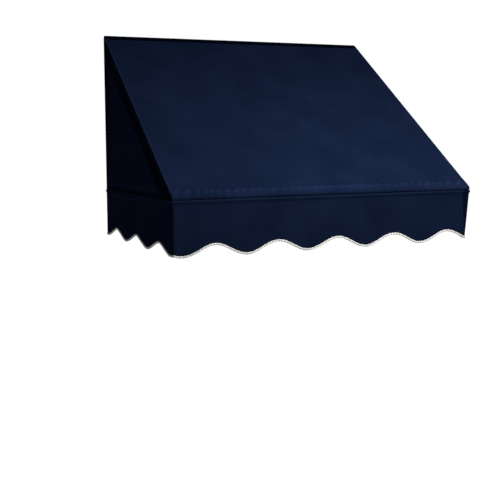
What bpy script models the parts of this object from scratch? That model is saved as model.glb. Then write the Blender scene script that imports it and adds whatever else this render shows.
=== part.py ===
"""Fixed window awning: cloth cover with a waved valance over a frame of square tube.

X runs along the wall, +Y points into the wall and +Z is up. The origin is the middle of the
back face of the middle head bracket, on the wall plane. A distance out from the wall is
written q in this file, so that y = -q.

The frame is built first: tubes that slip over the plugs of cast fittings, hung on brackets.
The cover is fitted round it: roof, cheeks, valance, binding, and the pockets that hold it.
"""

import math

import bmesh
import bpy
from mathutils import Vector

# Driving dimensions, in metres
WIDTH = 1.0287
PROJECTION = 0.7112
ROOF_RISE = 0.5334
VALANCE_DROP = 0.165

TUBE = 0.0254
TUBE_WALL = 0.0016
TUBE_CORNER = 0.0015
CLOTH = 0.0012
LINING = 0.0010

WAVE_HEIGHT = 0.033
FRONT_WAVE = 0.2075
FRONT_FIRST_LOW = 0.024
SIDE_WAVES = 3
SIDE_END_LOW = 0.016
WAVE_STEPS = 14
BINDING_HEIGHT = 0.006
BINDING_DEPTH = 0.0044

PLATE = 0.003
BRACKET_WIDTH = 0.038
BRACKET_SPACING = 0.30
HEAD_PLATE_DROP = 0.049
SHELF_LENGTH = 0.023
FOOT_LEG = 0.038
FOOT_HEIGHT = 0.045
FOOT_LIFT = 0.024
SCREW_DIAMETER = 0.0066
SCREW_LENGTH = 0.045
SCREW_HEX = 0.0127
SCREW_HEAD = 0.0052
WASHER_DIAMETER = 0.017
WASHER_THICKNESS = 0.0016
SCREW_PITCH = 0.022
HOLE_PLAY = 0.0004

PLUG_LENGTH = 0.040
PLUG_ROOT = 0.006
PLUG_CHAMFER = 0.002
FITTING_EDGE = 0.0012
HUB_TOP_REACH = 0.033
HUB_TOP_DROP = 0.045
HUB_FRONT_REACH = 0.0355
HUB_ARM_REACH = 0.0345
ELBOW_REACH = 0.012
SADDLE_WALL = 0.003
SADDLE_LEG = 0.018

POCKET_BAND = 0.033
POCKET_FLANGE = 0.010
POCKET_END_GAP = 0.001
SEAM_DROP = 0.006
FOLD_RADIUS = 0.002
WRAP_RETURN = 0.021

# Clearances
SEAT = 0.0003
WALL_EDGE_GAP = 0.001

# Values tied to the driving dimensions
SLOPE = ROOF_RISE / PROJECTION
ANGLE = math.atan(SLOPE)
ALONG = Vector((math.cos(ANGLE), -math.sin(ANGLE)))
ACROSS = Vector((math.sin(ANGLE), math.cos(ANGLE)))
HALF_WIDTH = WIDTH / 2
HALF_TUBE = TUBE / 2

HEAD_BACK = PLATE + SEAT
HEAD_FRONT = HEAD_BACK + TUBE
FRAME_TOP = HALF_TUBE + SLOPE * HEAD_FRONT
BAR_FRONT = PROJECTION - CLOTH - SEAT
BAR_BACK = BAR_FRONT - TUBE
BAR_TOP = FRAME_TOP - SLOPE * BAR_FRONT
BAR_BOTTOM = BAR_TOP - TUBE
BAR_MIDDLE = BAR_TOP - HALF_TUBE
SEAM = BAR_TOP - SEAM_DROP
HEM_LOW = BAR_TOP - VALANCE_DROP - BINDING_HEIGHT / 2

PANEL_INSIDE = HALF_WIDTH - CLOTH
SIDE_FRAME = PANEL_INSIDE - SEAT - HALF_TUBE
SIDE_INSIDE = SIDE_FRAME - HALF_TUBE
RAFTER_TOP = HEAD_FRONT + HUB_TOP_REACH
RAFTER_FOOT = BAR_FRONT - HUB_FRONT_REACH
UPRIGHT_TOP = -HUB_TOP_DROP
UPRIGHT_FOOT = BAR_TOP + ELBOW_REACH
ARM_BACK = HEAD_FRONT + ELBOW_REACH
ARM_FRONT = BAR_BACK - HUB_ARM_REACH
SIDES = (("left", -1), ("right", 1))


def on_frame(q, depth=0.0):
    """A point (q, z) on the plane of the rafters' tops, or below it at right angles."""
    return Vector((q, FRAME_TOP - SLOPE * q)) - ACROSS * depth


def place(x, point):
    """A point of the side view, (q, z), at the distance x along the wall."""
    return Vector((x, -point[0], point[1]))


# Materials
def material(name, colour, roughness, metallic):
    made = bpy.data.materials.new(name)
    made.use_nodes = True
    shader = made.node_tree.nodes["Principled BSDF"]
    shader.inputs["Base Color"].default_value = (*colour, 1.0)
    shader.inputs["Roughness"].default_value = roughness
    shader.inputs["Metallic"].default_value = metallic
    return made


# Mesh helpers
def add_object(name, shape, look):
    """Turn a finished bmesh into a named object."""
    bmesh.ops.recalc_face_normals(shape, faces=shape.faces)
    mesh = bpy.data.meshes.new(name)
    shape.to_mesh(mesh)
    shape.free()
    mesh.materials.append(look)
    made = bpy.data.objects.new(name, mesh)
    bpy.context.scene.collection.objects.link(made)
    return made


def prism_shape(outline, push, edge=0.0):
    """A flat outline pushed straight into a solid, with its edges bevelled."""
    shape = bmesh.new()
    corners = [shape.verts.new(point) for point in outline]
    face = shape.faces.new(corners)
    pushed = bmesh.ops.extrude_face_region(shape, geom=[face])
    moved = [item for item in pushed["geom"] if isinstance(item, bmesh.types.BMVert)]
    bmesh.ops.translate(shape, verts=moved, vec=push)
    if edge:
        bmesh.ops.bevel(shape, geom=shape.edges[:], offset=edge, segments=2, profile=0.5,
                        affect="EDGES", clamp_overlap=True)
    return shape


def prism(name, outline, push, look, edge=0.0):
    return add_object(name, prism_shape(outline, push, edge), look)


def strip_outline(path, thickness):
    """The closed outline of a bent strip, half its thickness to each side of a path."""
    normals = []
    for start, end in zip(path, path[1:]):
        step = (end - start).normalized()
        normals.append(Vector((-step.y, step.x)))
    offsets = [normals[0]]
    for before, after in zip(normals, normals[1:]):
        middle = (before + after).normalized()
        offsets.append(middle / middle.dot(after))
    offsets.append(normals[-1])
    half = thickness / 2
    one_side = [point + offset * half for point, offset in zip(path, offsets)]
    other_side = [point - offset * half for point, offset in zip(path, offsets)]
    return one_side + other_side[::-1]


def rounded_square(size, radius, steps):
    """Corner points of a square with rounded corners, in its own plane."""
    inner = size / 2 - radius
    points = []
    for quarter in range(4):
        turn = quarter * math.pi / 2
        centre = Vector((math.cos(turn + math.pi / 4), math.sin(turn + math.pi / 4)))
        centre = centre * inner * math.sqrt(2)
        for step in range(steps + 1):
            swing = turn + step * math.pi / 2 / steps
            points.append(centre + Vector((math.cos(swing), math.sin(swing))) * radius)
    return points


def ring_between(shape, first, second):
    """Faces from one ring of corners to the next."""
    count = len(first)
    for index in range(count):
        following = (index + 1) % count
        shape.faces.new((first[index], first[following], second[following], second[index]))


def axes_of(start, end):
    """The direction of a bar and two directions across it, one of them level or along X."""
    direction = (end - start).normalized()
    level = Vector((1, 0, 0)) if abs(direction.x) < 0.5 else Vector((0, 1, 0))
    return direction, level, direction.cross(level).normalized()


def square_tube(name, start, end, look):
    """An open-ended square tube between two points."""
    direction, level, upward = axes_of(start, end)
    shape = bmesh.new()

    def ring(points, centre):
        return [shape.verts.new(centre + level * p.x + upward * p.y) for p in points]

    outer = rounded_square(TUBE, TUBE_CORNER, 2)
    inner = rounded_square(TUBE - 2 * TUBE_WALL, TUBE_CORNER / 3, 2)
    outer_start, outer_end = ring(outer, start), ring(outer, end)
    inner_start, inner_end = ring(inner, start), ring(inner, end)
    ring_between(shape, outer_start, outer_end)
    ring_between(shape, inner_end, inner_start)
    ring_between(shape, inner_start, outer_start)
    ring_between(shape, outer_end, inner_end)
    return add_object(name, shape, look)


def plug_shape(root, direction):
    """A square plug with a chamfered tip, rooted a little inside its hub."""
    start = root - direction * PLUG_ROOT
    end = root + direction * PLUG_LENGTH
    _, level, upward = axes_of(start, end)
    size = TUBE - 2 * TUBE_WALL - 2 * SEAT
    shape = bmesh.new()
    stations = ((start, size), (end - direction * PLUG_CHAMFER, size), (end, size - 2 * PLUG_CHAMFER))
    rings = []
    for centre, width in stations:
        square = rounded_square(width, TUBE_CORNER / 3, 1)
        rings.append([shape.verts.new(centre + level * p.x + upward * p.y) for p in square])
    for first, second in zip(rings, rings[1:]):
        ring_between(shape, first, second)
    shape.faces.new(rings[0][::-1])
    shape.faces.new(rings[-1])
    return shape


def combine(target, others, operation):
    """Join other shapes to an object, or cut them from it, and keep only the result."""
    for other in others:
        change = target.modifiers.new("change", "BOOLEAN")
        change.operation = operation
        change.solver = "EXACT"
        change.object = other
    graph = bpy.context.evaluated_depsgraph_get()
    result = bpy.data.meshes.new_from_object(target.evaluated_get(graph))
    target.modifiers.clear()
    target.data = result
    for other in others:
        bpy.data.objects.remove(other)
    return target


def cylinder(name, start, end, diameter, sides, look):
    """A round bar, or a hexagonal one with six sides."""
    direction, level, upward = axes_of(start, end)
    turns = [2 * math.pi * step / sides for step in range(sides)]
    outline = [start + (level * math.cos(t) + upward * math.sin(t)) * diameter / 2 for t in turns]
    return prism(name, outline, end - start, look)


# Tubes of the frame
def make_tubes(look):
    head_y = HEAD_BACK + HALF_TUBE
    front_q = BAR_BACK + HALF_TUBE
    inside = SIDE_INSIDE - SEAT
    square_tube("head_bar", place(-inside, (head_y, 0)), place(inside, (head_y, 0)), look)
    square_tube("front_bar", place(-inside, (front_q, BAR_MIDDLE)),
                place(inside, (front_q, BAR_MIDDLE)), look)
    for name, x in (("left", -SIDE_FRAME), ("middle", 0.0), ("right", SIDE_FRAME)):
        top = on_frame(RAFTER_TOP, HALF_TUBE) + ALONG * SEAT
        foot = on_frame(RAFTER_FOOT, HALF_TUBE) - ALONG * SEAT
        square_tube("rafter_" + name, place(x, top), place(x, foot), look)
    for name, side in SIDES:
        x = side * SIDE_FRAME
        square_tube("upright_" + name, place(x, (head_y, UPRIGHT_TOP - SEAT)),
                    place(x, (head_y, UPRIGHT_FOOT + SEAT)), look)
        square_tube("side_arm_" + name, place(x, (ARM_BACK + SEAT, BAR_MIDDLE)),
                    place(x, (ARM_FRONT - SEAT, BAR_MIDDLE)), look)


# Cast fittings with plugs
def fitting(name, x, outline, plugs, look):
    """A hub with the side-view outline, as wide as the tube, with its plugs."""
    start = [place(x - HALF_TUBE, point) for point in outline]
    hub = prism(name, start, Vector((TUBE, 0, 0)), look, FITTING_EDGE)
    pieces = []
    for number, (root, direction) in enumerate(plugs):
        pieces.append(add_object(f"{name}_plug_{number}", plug_shape(root, direction), look))
    return combine(hub, pieces, "UNION")


def make_fittings(look):
    down_slope = place(0, ALONG)
    rafter_head = on_frame(RAFTER_TOP, HALF_TUBE)
    rafter_end = on_frame(RAFTER_FOOT, HALF_TUBE)
    head_q = HEAD_BACK + HALF_TUBE

    top_outline = (on_frame(HEAD_BACK), on_frame(RAFTER_TOP), on_frame(RAFTER_TOP, TUBE),
                   (HEAD_FRONT, UPRIGHT_TOP), (HEAD_BACK, UPRIGHT_TOP))
    front_outline = ((BAR_FRONT, BAR_BOTTOM), (BAR_FRONT, BAR_TOP), on_frame(RAFTER_FOOT),
                     on_frame(RAFTER_FOOT, TUBE), (ARM_FRONT, BAR_TOP), (ARM_FRONT, BAR_BOTTOM))
    elbow_outline = ((HEAD_BACK, BAR_BOTTOM), (HEAD_BACK, UPRIGHT_FOOT),
                     (HEAD_FRONT, UPRIGHT_FOOT), (ARM_BACK, BAR_TOP), (ARM_BACK, BAR_BOTTOM))
    for name, side in SIDES:
        x = side * SIDE_FRAME
        inward = Vector((-side, 0, 0))
        inner_face = x - side * HALF_TUBE
        fitting("corner_top_" + name, x, top_outline, (
            (place(x, rafter_head), down_slope),
            (place(x, (head_q, UPRIGHT_TOP)), Vector((0, 0, -1))),
            (place(inner_face, (head_q, 0)), inward)), look)
        fitting("corner_front_" + name, x, front_outline, (
            (place(x, rafter_end), -down_slope),
            (place(x, (ARM_FRONT, BAR_MIDDLE)), Vector((0, 1, 0))),
            (place(inner_face, (BAR_BACK + HALF_TUBE, BAR_MIDDLE)), inward)), look)
        fitting("elbow_wall_" + name, x, elbow_outline, (
            (place(x, (head_q, UPRIGHT_FOOT)), Vector((0, 0, 1))),
            (place(x, (ARM_BACK, BAR_MIDDLE)), Vector((0, -1, 0)))), look)

    face = HEAD_FRONT + SEAT
    tee_top = (on_frame(face), on_frame(RAFTER_TOP), on_frame(RAFTER_TOP, TUBE),
               (face, on_frame(face, TUBE).y - SLOPE * ACROSS.x * TUBE))
    fitting("tee_top", 0.0, tee_top, ((place(0, rafter_head), down_slope),), look)

    lip = BAR_FRONT - SADDLE_WALL
    back = BAR_BACK - SEAT
    tee_front = (on_frame(lip), on_frame(RAFTER_FOOT), on_frame(RAFTER_FOOT, TUBE),
                 (back - SADDLE_WALL, BAR_TOP - SADDLE_WALL * 2),
                 (back - SADDLE_WALL, BAR_TOP - SADDLE_LEG), (back, BAR_TOP - SADDLE_LEG),
                 (back, BAR_TOP + SEAT), (lip, BAR_TOP + SEAT))
    start = [place(-HALF_TUBE, point) for point in tee_front]
    saddle = prism("tee_front", start, Vector((TUBE, 0, 0)), look)
    plug = add_object("tee_front_plug", plug_shape(place(0, rafter_end), -down_slope), look)
    combine(saddle, [plug], "UNION")


# Wall brackets and lag screws
def lag_screw_mesh(look):
    """Shank, washer and hexagonal head as one solid; the head's seat is at the origin."""
    axis = Vector((0, 1, 0))
    overlap = axis * WASHER_THICKNESS / 2
    shank = cylinder("lag_screw", -overlap, axis * SCREW_LENGTH, SCREW_DIAMETER, 12, look)
    washer = cylinder("washer", axis * -WASHER_THICKNESS, axis * 0, WASHER_DIAMETER, 20, look)
    head_end = -axis * (WASHER_THICKNESS + SCREW_HEAD)
    head = cylinder("head", head_end, -overlap, SCREW_HEX / math.cos(math.pi / 6), 6, look)
    whole = combine(shank, [washer, head], "UNION")
    mesh = whole.data
    bpy.data.objects.remove(whole)
    return mesh


def drill(bracket, centres, look):
    """Cut a clearance hole through the wall plate at each screw."""
    reach = Vector((0, PLATE, 0))
    size = SCREW_DIAMETER + 2 * HOLE_PLAY
    cutters = []
    for number, centre in enumerate(centres):
        cutters.append(cylinder(f"cutter_{number}", centre - reach * 2, centre + reach, size, 16, look))
    return combine(bracket, cutters, "DIFFERENCE")


def make_brackets(steel, zinc):
    screw = lag_screw_mesh(zinc)

    def fix(name, centres):
        for number, centre in enumerate(centres, 1):
            made = bpy.data.objects.new(f"lag_screw_{name}_{number}", screw)
            made.location = centre - Vector((0, PLATE + SEAT, 0))
            bpy.context.scene.collection.objects.link(made)

    shelf = -HALF_TUBE - SEAT
    foot = shelf - PLATE - HEAD_PLATE_DROP
    outline = ((0, HALF_TUBE), (PLATE, HALF_TUBE), (PLATE, shelf), (PLATE + SHELF_LENGTH, shelf),
               (PLATE + SHELF_LENGTH, shelf - PLATE), (PLATE, shelf - PLATE), (PLATE, foot), (0, foot))
    for name, x in (("left", -BRACKET_SPACING), ("middle", 0.0), ("right", BRACKET_SPACING)):
        start = [place(x - BRACKET_WIDTH / 2, point) for point in outline]
        bracket = prism("head_bracket_" + name, start, Vector((BRACKET_WIDTH, 0, 0)), steel)
        middle = (shelf - PLATE + foot) / 2
        centres = [Vector((x, 0, middle + side * SCREW_PITCH / 2)) for side in (1, -1)]
        drill(bracket, centres, steel)
        fix("head_" + name, centres)

    base = UPRIGHT_FOOT + FOOT_LIFT
    for name, side in SIDES:
        near = side * (SIDE_INSIDE - SEAT)
        flat = ((near, 0), (near, HEAD_FRONT), (near - side * PLATE, HEAD_FRONT),
                (near - side * PLATE, PLATE), (near - side * FOOT_LEG, PLATE), (near - side * FOOT_LEG, 0))
        start = [Vector((x, -q, base)) for x, q in flat]
        bracket = prism("foot_bracket_" + name, start, Vector((0, 0, FOOT_HEIGHT)), steel)
        x = near - side * (FOOT_LEG + PLATE) / 2
        middle = base + FOOT_HEIGHT / 2
        centres = [Vector((x, 0, middle + end * SCREW_PITCH / 2)) for end in (1, -1)]
        drill(bracket, centres, steel)
        fix("foot_" + name, centres)


# Cloth cover
def wave(distance, first_low, pitch):
    """Height of the waved edge above its lowest line."""
    return WAVE_HEIGHT / 2 * (1 - math.cos(2 * math.pi * (distance - first_low) / pitch))


def front_hem(x):
    return HEM_LOW + wave(x + HALF_WIDTH, FRONT_FIRST_LOW, FRONT_WAVE)


def side_hem(q):
    pitch = (PROJECTION - 2 * SIDE_END_LOW) / SIDE_WAVES
    return HEM_LOW + wave(q, SIDE_END_LOW, pitch)


def spread(start, end, pitch):
    """Even stations from start to end, about WAVE_STEPS to each wave."""
    count = math.ceil((end - start) / pitch * WAVE_STEPS)
    return [start + (end - start) * step / count for step in range(count + 1)]


def binding(name, stations, centre_of, outward, look):
    """A bead that follows the waved edge, elliptical in section."""
    shape = bmesh.new()
    rings = []
    for station in stations:
        centre = centre_of(station)
        ring = []
        for step in range(8):
            turn = 2 * math.pi * (step + 0.5) / 8
            across = outward * math.cos(turn) * BINDING_DEPTH / 2
            ring.append(shape.verts.new(centre + across + Vector((0, 0, math.sin(turn) * BINDING_HEIGHT / 2))))
        rings.append(ring)
    for first, second in zip(rings, rings[1:]):
        ring_between(shape, first, second)
    shape.faces.new(rings[0][::-1])
    shape.faces.new(rings[-1])
    return add_object(name, shape, look)


def make_roof(look):
    """The roof panel: down the slope, round the fold and a little way down the front."""
    lift = SEAT + CLOTH / 2
    face = PROJECTION - CLOTH / 2
    top = on_frame(WALL_EDGE_GAP, -lift)
    turn = math.pi / 2 - ANGLE
    reach = FOLD_RADIUS * math.tan(turn / 2)
    plane_z = on_frame(face, -lift).y - SLOPE * (face - on_frame(face, -lift).x)
    corner = Vector((face, plane_z))
    centre = corner - ALONG * reach - ACROSS * FOLD_RADIUS
    path = [top]
    for step in range(5):
        swing = math.pi / 2 - ANGLE - turn * step / 4
        path.append(centre + Vector((math.cos(swing), math.sin(swing))) * FOLD_RADIUS)
    path.append(Vector((face, SEAM)))
    outline = [place(-HALF_WIDTH, point) for point in strip_outline(path, CLOTH)]
    prism("cover_roof", outline, Vector((WIDTH, 0, 0)), look)


def make_sides(look):
    for name, side in SIDES:
        outline = ((WALL_EDGE_GAP, on_frame(WALL_EDGE_GAP).y), (BAR_FRONT, BAR_TOP),
                   (BAR_FRONT, SEAM), (WALL_EDGE_GAP, SEAM))
        start = [place(side * PANEL_INSIDE, point) for point in outline]
        prism("cover_side_" + name, start, Vector((side * CLOTH, 0, 0)), look)


def make_valances(look, white):
    top = SEAM - SEAT
    clear = BINDING_HEIGHT / 2 + SEAT
    pitch = (PROJECTION - 2 * SIDE_END_LOW) / SIDE_WAVES

    stations = spread(-HALF_WIDTH, HALF_WIDTH, FRONT_WAVE)
    edge = [place(x, (PROJECTION, front_hem(x) + clear)) for x in stations]
    edge += [place(HALF_WIDTH, (PROJECTION, top)), place(-HALF_WIDTH, (PROJECTION, top))]
    prism("valance_front", edge, Vector((0, CLOTH, 0)), look)

    half_bead = BINDING_DEPTH / 2
    middle = PROJECTION - CLOTH / 2
    reach = HALF_WIDTH - CLOTH / 2 + half_bead
    binding("binding_front", spread(-reach, reach, FRONT_WAVE),
            lambda x: place(x, (middle, front_hem(x))), Vector((0, 1, 0)), white)

    end = middle - half_bead - SEAT
    stations = spread(WALL_EDGE_GAP, end, pitch)
    for name, side in SIDES:
        x = side * PANEL_INSIDE
        edge = [place(x, (q, side_hem(q) + clear)) for q in stations]
        edge += [place(x, (end, top)), place(x, (WALL_EDGE_GAP, top))]
        prism("valance_" + name, edge, Vector((side * CLOTH, 0, 0)), look)
        x = side * (HALF_WIDTH - CLOTH / 2)
        binding("binding_" + name, stations, lambda q, x=x: place(x, (q, side_hem(q))),
                Vector((1, 0, 0)), white)


# Pockets and flaps that hold the cover on the frame
def make_pockets(look):
    half = LINING / 2
    gap = SEAT + half
    behind = BAR_BACK - gap
    below = BAR_BOTTOM - gap
    skin = PROJECTION - CLOTH - gap
    fold = on_frame(BAR_FRONT, gap - SEAT)
    path = [fold - ALONG * (POCKET_BAND + POCKET_FLANGE), fold - ALONG * POCKET_BAND,
            Vector((behind, BAR_TOP)), Vector((behind, below)), Vector((skin, below)),
            Vector((skin, below - POCKET_FLANGE))]
    inner = HALF_TUBE + POCKET_END_GAP
    outer = SIDE_INSIDE - POCKET_END_GAP
    for name, x in (("left", -outer), ("right", inner)):
        outline = [place(x, point) for point in strip_outline(path, LINING)]
        prism("pocket_front_" + name, outline, Vector((outer - inner, 0, 0)), look)

    panel = PANEL_INSIDE - gap
    inside = SIDE_INSIDE - gap
    band = BAR_TOP + POCKET_BAND
    start = ARM_BACK + POCKET_END_GAP
    end = (FRAME_TOP - TUBE / math.cos(ANGLE) - band - POCKET_FLANGE) / SLOPE - 2 * POCKET_FLANGE
    for name, side in SIDES:
        path = [Vector((panel, band + POCKET_FLANGE)), Vector((panel, band)), Vector((inside, BAR_TOP)),
                Vector((inside, below)), Vector((panel, below)), Vector((panel, below - POCKET_FLANGE))]
        outline = [Vector((side * p.x, -start, p.y)) for p in strip_outline(path, LINING)]
        prism("pocket_arm_" + name, outline, Vector((0, start - end, 0)), look)


def make_wraps(look):
    gap = SEAT + LINING / 2
    behind = HEAD_BACK - gap
    below = -HALF_TUBE - gap
    top = on_frame(HEAD_BACK).y - SEAT
    path = [Vector((behind, top)), Vector((behind, below)), Vector((behind + WRAP_RETURN, below))]
    reach = SIDE_INSIDE - POCKET_END_GAP
    outline = [place(-reach, point) for point in strip_outline(path, LINING)]
    flap = prism("head_flap", outline, Vector((2 * reach, 0, 0)), look)
    notches = []
    half = BRACKET_WIDTH / 2 + POCKET_END_GAP
    for number in (-1, 0, 1):
        x = number * BRACKET_SPACING
        low, high = below - LINING, HALF_TUBE + POCKET_END_GAP
        box = [place(x - half, point) for point in ((0, low), (0, high), (TUBE * 2, high), (TUBE * 2, low))]
        notches.append(prism(f"notch_{number}", box, Vector((2 * half, 0, 0)), look))
    combine(flap, notches, "DIFFERENCE")

    base = UPRIGHT_FOOT + FOOT_LIFT + FOOT_HEIGHT + POCKET_END_GAP
    ceiling = -TUBE
    for name, side in SIDES:
        path = [Vector((PANEL_INSIDE - SEAT, behind)), Vector((SIDE_INSIDE - gap, behind)),
                Vector((SIDE_INSIDE - gap, behind + WRAP_RETURN))]
        outline = [Vector((side * p.x, -p.y, base)) for p in strip_outline(path, LINING)]
        prism("back_wrap_" + name, outline, Vector((0, 0, ceiling - base)), look)


def smooth_round_pieces():
    """Shade the curved faces smooth and keep the real edges sharp."""
    for made in bpy.context.scene.objects:
        made.data.shade_smooth()
        made.data.set_sharp_from_angle(angle=math.radians(35))


def build():
    for old in list(bpy.data.objects):
        bpy.data.objects.remove(old)
    canvas = material("canvas_navy", (0.009, 0.015, 0.045), 0.85, 0.0)
    lining = material("lining_navy", (0.008, 0.013, 0.038), 0.9, 0.0)
    white = material("binding_white", (0.78, 0.76, 0.68), 0.8, 0.0)
    aluminium = material("tube_aluminium", (0.72, 0.73, 0.74), 0.35, 1.0)
    cast = material("cast_aluminium", (0.55, 0.56, 0.57), 0.5, 1.0)
    steel = material("galvanised_steel", (0.58, 0.60, 0.61), 0.45, 1.0)
    zinc = material("screw_zinc", (0.66, 0.66, 0.63), 0.35, 1.0)
    make_tubes(aluminium)
    make_fittings(cast)
    make_brackets(steel, zinc)
    make_roof(canvas)
    make_sides(canvas)
    make_valances(canvas, white)
    make_pockets(lining)
    make_wraps(lining)
    smooth_round_pieces()


build()
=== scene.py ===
"""A fixed awning, dressed for its picture.

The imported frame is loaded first. Each section after it holds one piece or a group of like
pieces, in the order in which the awning is put together: room, canvas, sewing, roof, cheeks,
valance, pockets, stitching, binding, and last the metal of the hidden frame.
A distance out from the back is written q here, so that y = -q.
"""

import math

import bpy
import numpy as np
from mathutils import Matrix, Vector


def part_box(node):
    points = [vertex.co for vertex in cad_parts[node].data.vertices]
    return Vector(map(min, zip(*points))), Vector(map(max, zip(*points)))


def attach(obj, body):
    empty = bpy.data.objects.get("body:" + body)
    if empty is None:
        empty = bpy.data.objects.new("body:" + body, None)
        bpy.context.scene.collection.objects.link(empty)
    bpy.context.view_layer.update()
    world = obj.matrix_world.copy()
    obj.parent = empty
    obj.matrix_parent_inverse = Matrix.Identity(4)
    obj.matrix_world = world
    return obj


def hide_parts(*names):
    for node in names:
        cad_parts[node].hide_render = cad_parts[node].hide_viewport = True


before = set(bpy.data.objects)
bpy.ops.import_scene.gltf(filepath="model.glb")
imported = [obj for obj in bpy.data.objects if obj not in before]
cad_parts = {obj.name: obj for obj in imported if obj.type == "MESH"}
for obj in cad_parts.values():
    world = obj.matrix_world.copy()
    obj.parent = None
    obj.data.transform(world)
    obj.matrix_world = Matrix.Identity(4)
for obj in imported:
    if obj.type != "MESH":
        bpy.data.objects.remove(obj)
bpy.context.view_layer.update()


# The room: a plain pale floor far below, since the awning is fixed high up, a white surround,
# a soft lamp above the front, and two broad ones further off that open up the shadows.
FLOOR_HEIGHT = -2.2
FLOOR_HALF = 20.0
FLOOR_TONE = 0.8
FLOOR_GLOW = 0.93
SURROUND_HIGH = 0.17
SURROUND_LOW = 0.05
LAMPS = (("lamp_front", (0.24, -1.50, 0.46), (0.05, -0.5, -0.4), 0.8, 20),
         ("lamp_right", (2.6, -0.5, 0.1), (0.5, -0.35, -0.35), 1.4, 22),
         ("lamp_back", (0.5, 2.6, -0.9), (0, -0.2, -0.3), 1.6, 14))
IMAGE_SIZE = 500
SENSOR_WIDTH = 36.0
FOCAL_PIXELS = 848.4
IMAGE_CENTRE = (215.0, 210.0)
CAMERA_PLACE = Vector((-1.3018, -2.9633, -0.3435))
CAMERA_YAW = 0.38674
CAMERA_PITCH = -0.07927
CAMERA_ROLL = -0.01043


def new_node(tree, kind, inputs):
    """A node whose inputs are set to plain values or joined to other nodes' outputs."""
    node = tree.nodes.new(kind)
    for key, value in inputs.items():
        if isinstance(value, bpy.types.NodeSocket):
            tree.links.new(value, node.inputs[key])
        else:
            node.inputs[key].default_value = value
    return node


def seen_white(tree, lit, white, out_kind):
    """Mix a lit shader with a white one that only a straight, mirrored or clear look sees."""
    path = tree.nodes.new("ShaderNodeLightPath")
    looks = path.outputs["Is Camera Ray"]
    for ray in ("Is Glossy Ray", "Is Transmission Ray"):
        either = new_node(tree, "ShaderNodeMath", {0: looks, 1: path.outputs[ray]})
        either.operation = "MAXIMUM"
        looks = either.outputs[0]
    mix = new_node(tree, "ShaderNodeMixShader", {0: looks, 1: lit.outputs[0], 2: white.outputs[0]})
    new_node(tree, out_kind, {"Surface": mix.outputs[0]})


def make_surround():
    world = bpy.data.worlds.new("surround")
    bpy.context.scene.world = world
    world.use_nodes = True
    tree = world.node_tree
    tree.nodes.clear()
    place = tree.nodes.new("ShaderNodeTexCoord")
    split = new_node(tree, "ShaderNodeSeparateXYZ", {0: place.outputs["Generated"]})
    fade = new_node(tree, "ShaderNodeMapRange", {
        0: split.outputs[2], "From Min": -0.6, "From Max": 0.8,
        "To Min": SURROUND_LOW, "To Max": SURROUND_HIGH})
    dim = new_node(tree, "ShaderNodeBackground", {"Color": (1, 1, 1, 1), "Strength": fade.outputs[0]})
    white = new_node(tree, "ShaderNodeBackground", {"Color": (1, 1, 1, 1), "Strength": 1.0})
    seen_white(tree, dim, white, "ShaderNodeOutputWorld")


def make_floor():
    look = bpy.data.materials.new("floor_pale")
    look.use_nodes = True
    tree = look.node_tree
    tree.nodes.clear()
    lit = new_node(tree, "ShaderNodeBsdfDiffuse", {"Color": (FLOOR_TONE, FLOOR_TONE, FLOOR_TONE, 1)})
    glow = new_node(tree, "ShaderNodeEmission", {"Color": (1, 1, 1, 1), "Strength": FLOOR_GLOW})
    both = new_node(tree, "ShaderNodeAddShader", {0: lit.outputs[0], 1: glow.outputs[0]})
    seen_white(tree, lit, both, "ShaderNodeOutputMaterial")
    mesh = bpy.data.meshes.new("floor")
    square = np.array([(-1, -1, 0), (1, -1, 0), (1, 1, 0), (-1, 1, 0)]) * FLOOR_HALF
    square[:, 2] = FLOOR_HEIGHT
    mesh.from_pydata(square.tolist(), [], [(0, 1, 2, 3)])
    mesh.materials.append(look)
    floor = bpy.data.objects.new("floor", mesh)
    bpy.context.scene.collection.objects.link(floor)


def make_lamp(name, place, target, size, power):
    lamp = bpy.data.lights.new(name, "AREA")
    lamp.shape = "SQUARE"
    lamp.size = size
    lamp.energy = power
    holder = bpy.data.objects.new(name, lamp)
    holder.location = place
    holder.rotation_mode = "QUATERNION"
    holder.rotation_quaternion = (Vector(target) - Vector(place)).to_track_quat("-Z", "Y")
    holder.visible_camera = False
    bpy.context.scene.collection.objects.link(holder)


def make_camera():
    """A camera with the picture's measured place, turn, focal length and image centre."""
    yaw, pitch, roll = CAMERA_YAW, CAMERA_PITCH, CAMERA_ROLL
    forward = Vector((math.sin(yaw) * math.cos(pitch), math.cos(yaw) * math.cos(pitch), math.sin(pitch)))
    level = Vector((math.cos(yaw), -math.sin(yaw), 0))
    upward = level.cross(forward)
    right = level * math.cos(roll) + upward * math.sin(roll)
    up = upward * math.cos(roll) - level * math.sin(roll)
    turn = Matrix((right, up, -forward)).transposed().to_4x4()
    camera = bpy.data.cameras.new("camera")
    camera.sensor_width = SENSOR_WIDTH
    camera.lens = FOCAL_PIXELS / IMAGE_SIZE * SENSOR_WIDTH
    camera.shift_x = (IMAGE_SIZE / 2 - IMAGE_CENTRE[0]) / IMAGE_SIZE
    camera.shift_y = (IMAGE_CENTRE[1] - IMAGE_SIZE / 2) / IMAGE_SIZE
    holder = bpy.data.objects.new("camera", camera)
    holder.matrix_world = Matrix.Translation(CAMERA_PLACE) @ turn
    bpy.context.scene.collection.objects.link(holder)
    bpy.context.scene.camera = holder


make_surround()
make_floor()
for lamp_values in LAMPS:
    make_lamp(*lamp_values)
make_camera()
bpy.context.scene.view_settings.view_transform = "Standard"


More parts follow.
